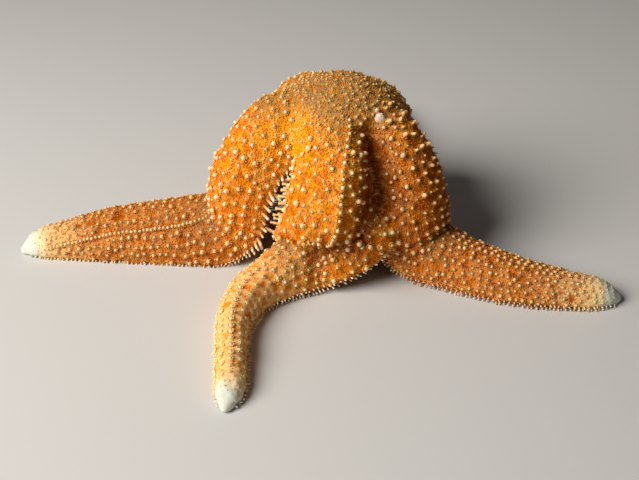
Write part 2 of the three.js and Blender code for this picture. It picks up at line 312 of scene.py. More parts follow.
def marks(owner, *names):
    """Those marks along the arm that each point belongs to."""
    return [np.array([getattr(arm, name) for arm in arms])[owner] for name in names]


# ---- the skin ----

SLEEVE_RINGS = 260  # rings along a sleeve
SLEEVE_BACK = 45  # spans over the back
SLEEVE_SOLE = 18  # points across the sole


def arm_sleeve(bm, arm):
    """A closed sleeve drawn over one arm. Returns where its points are, and the facts of each."""
    around = SLEEVE_BACK + 1 + SLEEVE_SOLE
    made = bmesh.ops.create_cone(
        bm, cap_ends=True, cap_tris=False, segments=around, radius1=1, radius2=1, depth=1
    )
    standing = {
        e for v in made["verts"] for e in v.link_edges if abs(e.verts[0].co.z - e.verts[1].co.z) > 0.5
    }
    bmesh.ops.subdivide_edges(bm, edges=list(standing), cuts=SLEEVE_RINGS, use_grid_fill=True)
    verts = [v for v in bm.verts if not v.tag]
    co = np.array([v.co[:] for v in verts])
    turn = np.rint(np.arctan2(co[:, 1], co[:, 0]) / (2 * math.pi) * around).astype(int) % around
    share = co[:, 2] + 0.5
    s = share * (arm.tip - COAT)
    across, rise = back_at(math.pi / 2 - math.pi * turn / SLEEVE_BACK, arm.section(s)[2].round(3))
    below = turn > SLEEVE_BACK
    sole = np.linspace(-1, 1, SLEEVE_SOLE)[turn[below] - SLEEVE_BACK - 1]
    across[below], rise[below] = sole * SOLE_SHARE, furrow_at(sole)
    places = arm.surface(s, across, rise)
    for v, place in zip(verts, places):
        v.co = place * MM
        v.tag = True
    owner = np.full(len(s), arm.index)
    return places, np.column_stack([owner, s, across, rise, turn / around, below])


def crown(bm):
    """The dome over the middle of the disc, flat below at the mouth's level."""
    made = bmesh.ops.create_uvsphere(bm, u_segments=96, v_segments=48, radius=1)
    for v in made["verts"]:
        x, y, z = v.co
        v.co = Vector((
            (DISC_AXIS[0] + x * (CROWN_RADIUS - COAT)) * MM,
            (DISC_AXIS[1] + y * (CROWN_RADIUS - COAT)) * MM,
            (MOUTH_HEIGHT + SOLE_LIFT + max(z, 0) * (CROWN_HEIGHT - COAT - SOLE_LIFT)) * MM,
        ))


def smoothed(obj, name, iterations):
    """A copy of the object's mesh after that many rounds of smoothing."""
    soften = obj.modifiers.new("soften", "SMOOTH")
    soften.factor, soften.iterations = 0.5, iterations
    graph = bpy.context.evaluated_depsgraph_get()
    mesh = bpy.data.meshes.new_from_object(obj.evaluated_get(graph))
    mesh.name = name
    obj.modifiers.remove(soften)
    return mesh


def bare_skin():
    """All sleeves and the crown grown into one closed skin, with the sleeves' places and facts."""
    bm = bmesh.new()
    places, facts = [], []
    for arm in arms:
        place, fact = arm_sleeve(bm, arm)
        places.append(place)
        facts.append(fact)
    crown(bm)
    bmesh.ops.recalc_face_normals(bm, faces=bm.faces)
    rough = placed("rough_skin", mesh_from(bm, "rough_skin"))
    remesh = rough.modifiers.new("one skin", "REMESH")
    remesh.mode = "VOXEL"
    remesh.voxel_size = VOXEL * MM
    mesh = smoothed(rough, "skin", SKIN_ROUNDS)
    slack = smoothed(rough, "slack_skin", CREASE_ROUNDS)
    bpy.data.objects.remove(rough)
    near, far = places_of(mesh), places_of(slack)
    outward = rows_of(mesh.vertices, "normal").astype(float)
    turn = np.degrees(np.arctan2(near[:, 1] - DISC_AXIS[1], near[:, 0] - DISC_AXIS[0]))
    limit = np.full(len(near), CREASE_FILL)
    for heading, more in SADDLES.items():
        limit += more * bell((turn - heading) / SADDLE_SPREAD)
    fill = np.clip(((far - near) * outward).sum(1), 0, limit)
    mound = MOUND_HEIGHT * bell(distances(near, MOUND_AT) / MOUND_REACH)
    filled = near + outward * (fill + mound)[:, None]
    filled[:, 2] = np.maximum(filled[:, 2], SOLE_LIFT * 0.9)
    set_places(mesh, filled)
    mesh.update()
    bpy.data.meshes.remove(slack)
    return mesh, np.concatenate(places), np.concatenate(facts)


def map_of(places):
    """A map that finds the nearest of those places."""
    found = KDTree(len(places))
    for number, place in enumerate(places):
        found.insert(place, number)
    found.balance()
    return found


def tree_of(points):
    return BVHTree.FromPolygons([Vector(p) for p in points], [p.vertices[:] for p in skin_mesh.polygons])


skin_mesh, sleeve_places, sleeve_facts = bare_skin()
skin_points = places_of(skin_mesh)
skin_tree = tree_of(skin_points)
arm_map = map_of(sleeve_places)


def facts_near(points):
    """At the nearest place of a sleeve: arm number, arc length, across, rise, turn, and 1 on the sole."""
    return sleeve_facts[[arm_map.find(p)[1] for p in points]]


def tip_distance(place):
    """Arc length from a place on the back to its arm's tip."""
    owner, s = sleeve_facts[arm_map.find(place)[1]][:2]
    return arms[int(owner)].tip - s


def on_skin(point, reach):
    """The nearest place on the skin and its normal, or None if it lies further off than reach."""
    place, normal = skin_tree.find_nearest(Vector(point), reach)[:2]
    return None if place is None else (np.array(place), np.array(normal))


# ---- where the spines grow ----

ROWS = 6  # rows on each side of the middle row
MIDDLE_ENDS = (6.0, 1.6)  # where the middle row begins, and how far short of the tip it ends
ROW_ENDS = (5.0, 1.4)  # and the other rows
ROW_SPREAD = 0.7  # the last row stands this share of a row short of the margin
LAST_ROW = 0.93  # no spine of a row stands further out than this share of the half back
MIDDLE_STEPS = {  # on the hump, lying
    "front": (1.1, 2.3), "left": (2.0, 1.15), "right": (2.4, 1.9), "usual": (2.0, 1.5),
}
ROW_STEP_SHARE = 0.136  # step along a row, as a share of the half back's width
ROW_STEP_RANGE = (1.7, 3.1)
LYING_ROOM = {"front": 1.95, "usual": 1.35}  # spines of a lying part keep this far apart
CROWN_ROOM = 1.52  # spines of the crown keep this far apart
CROWN_REACH = 13.0
SCATTER = 14000  # places tried for spines outside the rows
BARE_TIP = 3.6  # the very tips bear no spines
FILL_STEP = 2.0  # spines that fill bare places keep this far from all others


def row_places(arm):
    """Spines in rows along an arm's back: arc length, distance from the middle, size, room."""
    found = []
    room, steps = for_arm(arm, LYING_ROOM), for_arm(arm, MIDDLE_STEPS)
    s = MIDDLE_ENDS[0]
    while s < arm.tip - MIDDLE_ENDS[1]:
        step = float(np.interp(s, [arm.flank_end, arm.knee_end], steps))
        found.append((s, float(arm.middle(s)), rng.uniform(0.85, 1.1), step * 0.7))
        s += step * rng.uniform(0.9, 1.1)
    for sign in (-1, 1):
        for row in range(1, ROWS + 1):
            s = ROW_ENDS[0] + rng.uniform(0, 3)
            while s < arm.tip - ROW_ENDS[1]:
                run = arm.over_the_back(s)[2][-1]
                step = float(np.clip(run * ROW_STEP_SHARE, *ROW_STEP_RANGE))
                offset = sign * run * min(row / (ROWS + ROW_SPREAD) + rng.normal(0, 0.02), LAST_ROW)
                size = rng.uniform(0.65, 1.3) * (step / 2.4) ** 0.6
                apart = max(step * 0.62, room * float(ease(arm.flank_end, arm.knee_end, s)))
                found.append((s + rng.normal(0, 0.3), offset, size, apart))
                s += step * rng.uniform(0.8, 1.25)
    return found


def place_on_back(arm, s, offset):
    """The place at arc length s and that distance aside of the middle, measured over the back."""
    across, rise, run = arm.over_the_back(s)
    half = np.sign(offset) * np.interp(abs(offset), run, across)
    return arm.point(s, half, np.interp(abs(offset), run, rise))


class Bed:
    """Places already taken, in cubes, so that nothing crowds."""

    def __init__(self, cell=4.0):
        self.cell, self.cubes = cell, {}

    def take(self, place, room):
        """Takes the place if nothing crowds it, and says whether it did."""
        key = tuple(int(math.floor(c / self.cell)) for c in place)
        for cube in product(*((c - 1, c, c + 1) for c in key)):
            for other, other_room in self.cubes.get(cube, ()):
                if math.dist(place, other) < max(room, other_room):
                    return False
        self.cubes.setdefault(key, []).append((tuple(place), room))
        return True


def scattered(count):
    """Places spread at random over the skin's back, with their normals."""
    skin_mesh.calc_loop_triangles()
    a, b, c = [skin_points[column] for column in rows_of(skin_mesh.loop_triangles, "vertices", np.int32).T]
    facing = np.cross(b - a, c - a)
    area = np.linalg.norm(facing, axis=1)
    chosen = rng.choice(len(area), count, p=area / area.sum())
    u, v = rng.uniform(0, 1, (2, count, 1))
    over = (u + v) > 1
    u, v = np.where(over, 1 - u, u), np.where(over, 1 - v, v)
    points = a[chosen] + u * (b - a)[chosen] + v * (c - a)[chosen]
    normals = unit(facing[chosen])
    back = facts_near(points)[:, 5] < 0.5
    return points[back], normals[back]


def spine_roots():
    """Roots of all back spines as rows: place, normal, size."""
    bed, roots = Bed(), []

    def try_root(place, normal, size, room):
        if bed.take(place, room):
            roots.append((*place, *normal, size))

    for arm in arms:
        for s, offset, size, room in row_places(arm):
            if arm.tip - s < BARE_TIP:
                continue
            fade = 0.35 + 0.65 * ease(BARE_TIP, 16, arm.tip - s)
            hit = on_skin(place_on_back(arm, s, offset), 1.0)
            if hit is None or math.dist(hit[0][:2], DISC_AXIS) < CROWN_REACH and hit[0][2] > MOUTH_HEIGHT:
                continue
            try_root(*hit, size * fade, room * fade)
    for place, normal in zip(*scattered(SCATTER)):
        on_crown = math.dist(place[:2], DISC_AXIS) < CROWN_REACH + 3 and place[2] > MOUTH_HEIGHT + 5
        if on_crown:
            try_root(place, normal, rng.uniform(0.5, 0.68), CROWN_ROOM)
        elif tip_distance(place) > BARE_TIP + 0.5:
            try_root(place, normal, rng.uniform(0.35, 0.75), FILL_STEP)
    return np.array(roots)


spines = spine_roots()
spine_map = map_of(spines[:, :3])


def settle_spines():
    """Sets spines and middle lines on the finished skin, whose pads and ridge have lifted it there."""
    for root in spines:
        place, normal = on_skin(root[:3], 12.0)
        root[:3] = place
        root[3:6] = unit(root[3:6] + normal)
    for number, place in enumerate(crest_places):
        crest_places[number] = on_skin(place, 12.0)[0]


# ---- markings, the same for skin and coat ----

PALENESS = {"front": 1.0, "right": 0.1, "usual": 0.2}  # of the net on the lying part of an arm; the right arm's is kept low to darken it as painted shade
TIP_PALENESS = 0.75  # and near every tip
DULLNESS_AND_SHADE = {  # on the hump, lying: partly the arms' duller colour, partly painted shade, which is nearly all of the right arm's
    "front": (0.0, 0.0), "left": (0.05, 0.85), "right": (0.9, 1.0), "usual": (0.2, 0.7),
}
CRESTS = {"front": (1.0, 0.0), "left": (0.0, 0.8), "usual": (0.1, 0.4)}  # paleness of the middle line
CREST_WIDTH = 0.75
PAINTED_HIGHLIGHT_AT = (-4.0, -16.0)  # a painted highlight makes the saddle over the slit the yellowest place
PAINTED_HIGHLIGHT_REACH = 7.0


WHITE_END = (2.5, 14.0)  # distances from the tip: all white up to the first, no longer at the second
WAIST = (8, 18)  # along an arm, where the crown's colour gives way to its own
SILT_AND_SHADE_HEIGHT = (38.0, 46.5)  # Silt, and painted shade that darkens the crown's top, gather on the crown between these heights
PAD_REACH = 0.76  # the pale pad round a spine's foot
LYING_PAD = 0.2  # and how much wider it is on a lying part


def wander(points, size, seed):
    """Smooth noise from -1 to 1 with features of that size in mm."""
    shift = Vector((seed * 7.3, seed * 3.1, seed * 5.7))
    return np.array([noise.noise(Vector(p) / size + shift) for p in points])


def net_at(points, paleness=0.0):
    """How near a point is to the net that joins each spine to the next, wider where paler, and to a spine."""
    pairs = [spine_map.find_n(p, 3) for p in points]
    reach = np.array([[hit[2] for hit in pair] for pair in pairs])
    net = np.zeros(len(points))
    for first, second in ((0, 1), (0, 2)):
        gap = np.array([(pair[first][0] - pair[second][0]).length for pair in pairs])
        detour = reach[:, first] + reach[:, second] - gap
        line = 1 - ease(0.03, 0.4 + 0.08 * paleness, detour)
        net = np.maximum(net, line * (1 - ease(3.2, 4.5, gap)))
    return net, reach[:, 0]


def crest_line():
    """Places along the middle of every arm, and how pale a line runs there."""
    places, strengths = [], []
    for arm in arms:
        stations = np.arange(9, arm.tip - 10, 0.5)
        fade = window(9, 16, arm.tip - 22, arm.tip - 12, stations)
        knee = [arm.flank_end - 1, arm.flank_end + 5]
        strengths.append(fade * np.interp(stations, knee, for_arm(arm, CRESTS)))
        places += [place_on_back(arm, s, float(arm.middle(s))) for s in stations]
    return np.array(places), np.concatenate(strengths)


crest_places, crest_strength = crest_line()
crest_map = map_of(crest_places)


def crest_near(points):
    """How pale the middle line of an arm makes a point."""
    hits = [crest_map.find(p) for p in points]
    number = np.array([hit[1] for hit in hits])
    distance = np.array([hit[2] for hit in hits])
    return crest_strength[number] * bell(distance / CREST_WIDTH)


valley_depth = np.zeros(len(skin_points))  # how far each point of the skin has sunk, from 0 to 1; the colours lay painted shade there
bare_map = map_of(skin_points)


def depth_near(points):
    """How deep in a valley or hollow of the hump a point lies, which the colours darken as painted shade."""
    return valley_depth[[bare_map.find(p)[1] for p in points]]


def paleness_at(facts):
    """How far the lying part of an arm has paled: most on the front arm and towards every tip."""
    owner = facts[:, 0].astype(int)
    ends, tips = marks(owner, "knee_end", "tip")
    share = per_arm(PALENESS, owner)
    by_tip = TIP_PALENESS * ease(tips - 32, tips - 9, facts[:, 1])
    return np.maximum(share * ease(ends - 8, ends + 18, facts[:, 1]), by_tip)


def markings(points, normals):
    """The values that colour skin and coat alike at each point."""
    facts = facts_near(points)
    owner, s, rise, oral = facts[:, 0].astype(int), facts[:, 1], facts[:, 3], facts[:, 5]
    height = points[:, 2]
    tips, knees, ends = marks(owner, "tip", "flank_end", "knee_end")
    patchy, broad = wander(points, 2.2, 1), wander(points, 9.0, 2)
    tip = 1 - ease(*WHITE_END, tips - s + 1.4 * patchy)
    distal = paleness_at(facts)
    dull_and_shade = per_arm(DULLNESS_AND_SHADE, owner)
    down = ease(knees, ends, s)
    # a duller orange where arms lie, and painted shade, strongest on the right arm and its lobe
    lying = (dull_and_shade[:, 0] * (1 - down) + dull_and_shade[:, 1] * down) * ease(*WAIST, s)
    net, reach = net_at(points, distal)
    margin = (1 - ease(0.0, 0.3, rise - MARGIN_SHARE * 0.6)) * (1 - oral)
    # Silt and painted shade: the crown's top greyer and darker, as if lit less
    crown_silt_and_shade = ease(*SILT_AND_SHADE_HEIGHT, height + 1.6 * patchy + 1.5 * broad)
    fold = window(knees - 1, knees + 2, ends - 1, ends + 10, s)
    flat = ease(0.2, 0.8, normals[:, 2])
    silt_and_shade = crown_silt_and_shade * 0.9 + fold * flat * (0.75 + 0.5 * broad + 0.3 * (owner == front.index))
    pad = np.maximum(bell(reach / (PAD_REACH + LYING_PAD * down)), crest_near(points))
    # painted light: the hump yellower the higher it rises, with broad random patches
    painted_light = np.clip(ease(12, 36, height) + 0.35 * broad, 0, 1)
    # painted highlight: the saddle over the slit yellower, where the light falls most
    painted_highlight = bell(distances(points[:, :2], PAINTED_HIGHLIGHT_AT) / PAINTED_HIGHLIGHT_REACH) * window(20, 30, 43, 47, height)
    return dict(
        tip=tip, net=net, pad=pad, oral=oral, margin=margin, silt_and_shade=np.clip(silt_and_shade, 0, 1) * (1 - painted_highlight),
        painted_light=painted_light, painted_highlight=painted_highlight, distal=distal, lying=lying, depth=depth_near(points),
    )


def dress(mesh, values):
    for name, column in values.items():
        add_attribute(mesh, name, column)


# ---- the skin's fine form ----

RIDGE_HEIGHT = 1.1  # the front arm's middle row stands on a ridge
RIDGE_WIDTH = 1.5
HOLLOW_DEPTH = 3.6  # and the face right of it falls in
HOLLOW_WIDTH = 5.5
HOLLOW_ASIDE = 9.5
FOLD_STATION = 29.5  # where the front arm's flank meets its lying part in a sharp fold
FOLD_DEPTH = 1.5
FOLD_WIDTH = 1.5
VALLEYS = {-63: 4.8, 8: 1.5, 87: 1.2, 156: 0.2}  # depth of the valleys between arms, by heading
VALLEY_WIDTH = 4.5
PAD_HEIGHT = 0.3  # of the low pad under each spine
NET_HEIGHT = 0.16  # of the net between the pads
SWELLS = ((5.5, 3, 0.2), (1.7, 4, 0.1))  # size, seed and height of the flesh's unevenness
SUNK = 0.1  # and how far the whole lies lower, to make room for them


def distance_from(line):
    """Distance of each point of the skin from the nearest of a row of places."""
    found = map_of(line)
    return np.array([found.find(p)[2] for p in skin_points])


def front_folds():
    """The ridge of the front arm, the hollow on its right and the fold at its knee."""
    facts = facts_near(skin_points)
    on_front = (facts[:, 0] == front.index) * (1 - facts[:, 5])
    along = window(10, 24, front.flank_end, front.knee_end, facts[:, 1])
    lower = window(10, 24, front.knee_end - 7, front.knee_end + 1, facts[:, 1])
    stations = np.arange(6, front.knee_end + 4, 0.4)
    middle = [float(front.middle(s)) for s in stations]
    crest = [place_on_back(front, s, aside) for s, aside in zip(stations, middle)]
    floor = [place_on_back(front, s, aside + HOLLOW_ASIDE) for s, aside in zip(stations, middle)]
    run = front.over_the_back(FOLD_STATION)[2][-1]
    fold = [place_on_back(front, FOLD_STATION, aside) for aside in np.arange(-0.8 * run, 0.3 * run, 0.4)]
    ridge = RIDGE_HEIGHT * bell(distance_from(crest) / RIDGE_WIDTH)
    hollow = HOLLOW_DEPTH * bell(distance_from(floor) / HOLLOW_WIDTH)
    crease = FOLD_DEPTH * bell(distance_from(fold) / FOLD_WIDTH)
    return on_front * (along * ridge - crease), on_front * lower * hollow


def valleys():
    """How far each point of the hump sinks towards the disc's axis, in the valleys between arms."""
    x, y = skin_points[:, 0] - DISC_AXIS[0], skin_points[:, 1] - DISC_AXIS[1]
    sunk = np.zeros(len(skin_points))
    for heading, depth in VALLEYS.items():
        turn = math.radians(heading)
        outward = x * math.cos(turn) + y * math.sin(turn)
        aside = x * math.sin(turn) - y * math.cos(turn)
        sunk += depth * bell(aside / VALLEY_WIDTH) * ease(6, 14, outward)
    return sunk * window(17, 25, 38, 45, skin_points[:, 2])


def finish_skin():
    """Raises pads, net and the uneven swell of soft flesh, and sinks the folds and valleys."""
    normals = rows_of(skin_mesh.vertices, "normal").astype(float)
    folds, hollow = front_folds()
    sunk = valleys()
    # how deep the valleys and the hollow lie, for the painted shade that the colours lay there
    valley_depth[:] = ease(0.3, 3.4, hollow + sunk)
    values = markings(skin_points, normals)
    swell = sum(wander(skin_points, size, seed) * height for size, seed, height in SWELLS)
    raised = PAD_HEIGHT * values["pad"] + NET_HEIGHT * values["net"] + swell + folds - hollow - SUNK
    raised = np.where(values["oral"] > 0.5, swell * 0.3, raised)
    moved = skin_points + normals * raised[:, None]
    inward = np.column_stack([*(np.array(DISC_AXIS)[:, None] - skin_points[:, :2].T), 0 * raised])
    moved += unit(inward) * (sunk * (1 - values["oral"]))[:, None]
    moved[:, 2] = np.maximum(moved[:, 2], SOLE_LIFT * 0.8)
    set_places(skin_mesh, moved)
    skin_mesh.update()
    dress(skin_mesh, values)
    return moved


# ---- forms of the small parts, upright, in mm for a size of 1 ----

def form_arrays(bm):
    co = np.array([v.co[:] for v in bm.verts])
    faces = [[v.index for v in f.verts] for f in bm.faces]
    bm.free()
    return co, faces


def turned_form(sides, rings, profile):
    """A small closed form about its own upright axis. A profile row is share, height, radius."""
    bm = bmesh.new()
    bmesh.ops.create_uvsphere(bm, u_segments=sides, v_segments=rings, radius=1)
    shares, heights, radii = zip(*profile)
    for v in bm.verts:
        share = math.acos(max(-1, min(1, -v.co.z))) / math.pi
        flat = Vector((v.co.x, v.co.y, 0))
        flat = flat.normalized() * np.interp(share, shares, radii) if flat.length > 1e-4 else flat * 0
        v.co = (flat.x, flat.y, np.interp(share, shares, heights))
    return form_arrays(bm)


def spine_form():
    """A blunt spine, stout at its foot."""
    return turned_form(7, 5, [(0, -0.35, 0), (0.2, -0.3, 0.62), (0.4, 0.14, 0.55), (0.6, 0.43, 0.46),
                              (0.8, 0.66, 0.3), (1, 0.75, 0)])


def pincer_form():
    """One of the tiny pincers that stand in a ring round each spine."""
    return turned_form(4, 3, [(0, -0.15, 0), (0.33, -0.02, 0.19), (0.67, 0.24, 0.16), (1, 0.34, 0)])


def gill_form():
    """A soft gill: a small upright blister."""
    bm = bmesh.new()
    bmesh.ops.create_icosphere(bm, subdivisions=1, radius=0.27)
    bmesh.ops.scale(bm, verts=bm.verts, vec=(1.08, 1.08, 0.8))
    bmesh.ops.translate(bm, verts=bm.verts, vec=(0, 0, 0.03))
    return form_arrays(bm)


COMB_TOP = 1.36


def comb_form():
    """A flat-ended margin spine, longer than those of the back."""
    return turned_form(6, 6, [(0, -0.3, 0), (0.17, -0.28, 0.22), (0.34, 0.3, 0.24), (0.5, 0.8, 0.27),
                              (0.67, 1.15, 0.27), (0.84, 1.32, 0.2), (1, COMB_TOP, 0)])


def foot_form():
    """A tube foot of length 1 with its sucker."""
    return turned_form(7, 8, [(0, -0.1, 0), (0.12, -0.1, 0.4), (0.25, 0.15, 0.35), (0.5, 0.6, 0.28),
                              (0.68, 0.85, 0.32), (0.76, 0.93, 0.5), (0.9, 0.99, 0.5), (1, 0.97, 0)])


BAKE_PATCH = 0.003  # size of one copy's patch on the bake map
BAKE_LENGTH = 120  # the arm's length in mm that fills the map


def planted(name, form, roots, material, stretch=None):
    """The form joined into one mesh at every root. A root row is place, direction, size.

    Each copy gets its own patch of the bake map, at its root's place on the arms laid side by side.
    """
    co, faces = form
    count, points = len(roots), len(co)
    place, up, size = roots[:, :3], unit(roots[:, 3:6]), roots[:, 6]
    x_axis = square_to(up, rng.uniform(0, 2 * math.pi, count))
    scales = (size, size, size if stretch is None else stretch)
    world = place[:, None] + sum(
        co[:, k : k + 1] * scale[:, None, None] * axis[:, None]
        for k, (scale, axis) in enumerate(zip(scales, (x_axis, np.cross(up, x_axis), up)))
    )
    world[..., 2] = np.maximum(world[..., 2], FLOOR_CLEAR)
    mesh = bpy.data.meshes.new(name)
    copies = [[corner + points * k for corner in face] for k in range(count) for face in faces]
    mesh.from_pydata((world * MM).reshape(-1, 3), [], copies)
    corners = np.empty(len(mesh.loops), np.int32)
    mesh.loops.foreach_get("vertex_index", corners)
    values = markings(place, up)
    dress(mesh, {key: np.repeat(column, points) for key, column in values.items()})
    add_attribute(mesh, "height", np.tile((co[:, 2] - co[:, 2].min()) / np.ptp(co[:, 2]), count))
    add_attribute(mesh, "chance", np.repeat(rng.uniform(0, 1, count), points))
    facts = facts_near(place)
    column = (facts[:, 0] + 0.05 + 0.9 * facts[:, 4]) / len(arms)
    centre = np.column_stack([column, facts[:, 1] / BAKE_LENGTH])
    reach = np.abs(co[:, :2]).max()
    patch = centre[:, None] + co[None, :, :2] / reach * BAKE_PATCH / 2
    uv = mesh.uv_layers.new(name="OFBake")
    uv.data.foreach_set("uv", patch.reshape(-1, 2)[corners].astype(np.float32).ravel())
    obj = finished(name, mesh, material)


# ---- materials ----

class Finish:
    """A procedural material, with short ways to add and join its nodes."""

    def __init__(self, name, **sockets):
        self.material = bpy.data.materials.new(name)
        self.material.use_nodes = True
        self.nodes = self.material.node_tree.nodes
        self.links = self.material.node_tree.links
        self.shader = self.nodes["Principled BSDF"]
        for key, value in sockets.items():
            self.shader.inputs[key.replace("_", " ")].default_value = value
        self.place = self.add("TexCoord", "Object", {})

    def feed(self, socket, value):
        """Gives a socket a number or a colour, or links it to an attribute's name or another node."""
        if isinstance(value, str):
            value = self.add("Attribute", "Fac", {}, attribute_name=value)
        if isinstance(value, (int, float)):
            socket.default_value = value
        elif isinstance(value, tuple):
            socket.default_value = (*value, 1)
        else:
            self.links.new(value, socket)

    def add(self, kind, output, inputs, **settings):
        """Adds a node, sets and feeds it, and returns one of its outputs."""
        node = self.nodes.new("ShaderNode" + kind)
        for key, value in settings.items():
            setattr(node, key, value)
        for key, value in inputs.items():
            self.feed(node.inputs[key], value)
        return node.outputs[output]

    def grain(self, size, detail=3.0, roughness=0.55):
        """Noise from 0 to 1 with features of that size in mm."""
        inputs = {"Scale": 1 / (size * MM), "Detail": detail, "Roughness": roughness}
        return self.add("TexNoise", "Fac", {**inputs, "Vector": self.place})

    def span(self, value, low, high, to_low=0.0, to_high=1.0):
        """The value eased from one span onto another."""
        inputs = {"Value": value, "From Min": low, "From Max": high, "To Min": to_low, "To Max": to_high}
        return self.add("MapRange", "Result", inputs, interpolation_type="SMOOTHSTEP")

    def times(self, a, b):
        return self.add("Math", 0, {0: a, 1: b}, operation="MULTIPLY")

    def mix(self, share, a, b):
        """From a at share 0 to b at share 1."""
        return self.add("Mix", 2, {"Factor": share, 6: a, 7: b}, data_type="RGBA")

    def colour(self, value):
        self.feed(self.shader.inputs["Base Color"], value)

    def bump(self, height, depth):
        """Fine relief of that depth in mm."""
        inputs = {"Strength": 1.0, "Distance": depth * MM, "Height": height}
        self.feed(self.shader.inputs["Normal"], self.add("Bump", "Normal", inputs))


ORANGE = (0.67, 0.17, 0.003)
DEEP_ORANGE = (0.45, 0.08, 0.002)
YELLOW_ORANGE = (0.80, 0.32, 0.002)
# the yellow of the painted highlight on the saddle
PAINTED_HIGHLIGHT_YELLOW = (0.90, 0.38, 0.002)
VIVID_ORANGE = (0.95, 0.27, 0.004)
# DULL_ORANGE and DARK_ORANGE: the lying arms' duller blotched orange, partly painted shade
DULL_ORANGE = (0.52, 0.125, 0.003)
DARK_ORANGE = (0.30, 0.045, 0.001)
# painted shade for the valleys between the arms and the hollow beside the front arm's ridge
PAINTED_SHADE_ORANGE = (0.30, 0.05, 0.002)
PALE = (0.88, 0.46, 0.12)
# TAN, the lying colour of spines, margin spines and tube feet, is partly painted shade
TAN = (0.52, 0.26, 0.075)
NET = (0.98, 0.67, 0.28)
ROSY_CREAM = (0.99, 0.70, 0.36)
CREAM = (0.93, 0.70, 0.40)
WHITE_TIP = (0.69, 0.69, 0.58)
# Greyish brown, in the folds for settled sediment, on the crown's top also painted shade
SILT_AND_SHADE = (0.36, 0.22, 0.085)
RUSTY = (0.72, 0.25, 0.008)
AMBER = (0.84, 0.44, 0.07)
# DULL_RUST, the lying colour of the pincers, is partly painted shade
DULL_RUST = (0.50, 0.14, 0.008)
COMB_TOP_PALE = (0.95, 0.86, 0.68)
FOOT = (0.74, 0.36, 0.08)
SUCKER = (0.90, 0.64, 0.32)
SOLE = (0.42, 0.19, 0.05)


def body_colour(finish):
    """The orange of the back: deeper and yellower patches, the yellow stronger high on the hump as painted
    light, a painted highlight on the saddle, a duller orange with painted shade where the lying mask is
    strong, and painted shade in the valleys and the hollow.
    """
    patches = finish.span(finish.grain(1.7, 4, 0.6), 0.4, 0.6)
    # the yellow patches grow stronger higher up, as painted light
    base = finish.mix(finish.times(patches, finish.span("painted_light", 0, 1, 0.4, 1.0)), ORANGE, YELLOW_ORANGE)
    base = finish.mix(finish.span(finish.grain(2.2, 3), 0.5, 0.68, 0.0, 0.75), base, DEEP_ORANGE)
    # painted highlight on the saddle over the slit
    base = finish.mix(finish.times("painted_highlight", 0.75), base, PAINTED_HIGHLIGHT_YELLOW)
    base = finish.mix(finish.span("distal", 0.3, 1.0, 0.0, 0.9), base, VIVID_ORANGE)
    blotched = finish.mix(finish.span(finish.grain(2.4, 2), 0.43, 0.6), DULL_ORANGE, DARK_ORANGE)
    # where the lying mask is strong: a duller blotched orange and painted shade
    base = finish.mix("lying", base, blotched)
    # painted shade in the valleys and the hollow
    return finish.mix(finish.times("depth", 0.9), base, PAINTED_SHADE_ORANGE)


def whitened(finish, base):
    """The arm's end over the base colour: first cream, then white."""
    creamy = finish.mix(finish.span("tip", 0.05, 0.7, 0.0, 0.85), base, CREAM)
    return finish.mix(finish.span("tip", 0.55, 1.0), creamy, WHITE_TIP)


def silted_and_shaded(finish, base):
    """Silt in the folds and, with painted shade, on the crown's top, and the white of the tips, over the base
    colour.
    """
    dusty_and_shaded = finish.times("silt_and_shade", finish.span(finish.grain(1.2, 4), 0.3, 0.6))
    return whitened(finish, finish.mix(dusty_and_shaded, base, SILT_AND_SHADE))


def netted(finish, base, low, high):
    """The pale net over the base colour, from its low share near the disc to its high one further out."""
    return finish.mix(finish.times("net", finish.span("distal", 0.0, 1.0, low, high)), base, NET)


def skin_finish():
    finish = Finish("starfish skin", Roughness=0.55, Subsurface_Weight=0.06, Subsurface_Scale=0.0007,
                    Specular_IOR_Level=0.05)
    finish.shader.inputs["Subsurface Radius"].default_value = (1.0, 0.5, 0.2)
    base = netted(finish, body_colour(finish), 0.08, 0.9)
    # pads are less pale where the lying mask lays its duller colour and painted shade
    base = finish.mix(finish.times("pad", finish.span("lying", 0, 1, 0.8, 0.45)), base, PALE)
    base = finish.mix(finish.times("margin", 0.7), base, PALE)
    base = finish.mix(finish.times(finish.times("margin", "distal"), 0.6), base, NET)
    base = finish.mix(finish.times("oral", 0.9), base, SOLE)
    finish.colour(silted_and_shaded(finish, base))
    finish.bump(finish.grain(0.4, 3), 0.06)
    return finish.material


def gill_finish():
    finish = Finish("gills", Roughness=0.5, Subsurface_Weight=0.2, Subsurface_Scale=0.0006,
                    Specular_IOR_Level=0.05)
    base = finish.mix(finish.span("chance", 0.0, 0.3, 0.3, 0.0), body_colour(finish), DEEP_ORANGE)
    base = finish.mix(finish.span("chance", 0.6, 1.0, 0.0, 0.6), base, YELLOW_ORANGE)
    finish.colour(silted_and_shaded(finish, netted(finish, base, 0.1, 0.8)))
    finish.bump(finish.grain(0.2, 2), 0.03)
    return finish.material


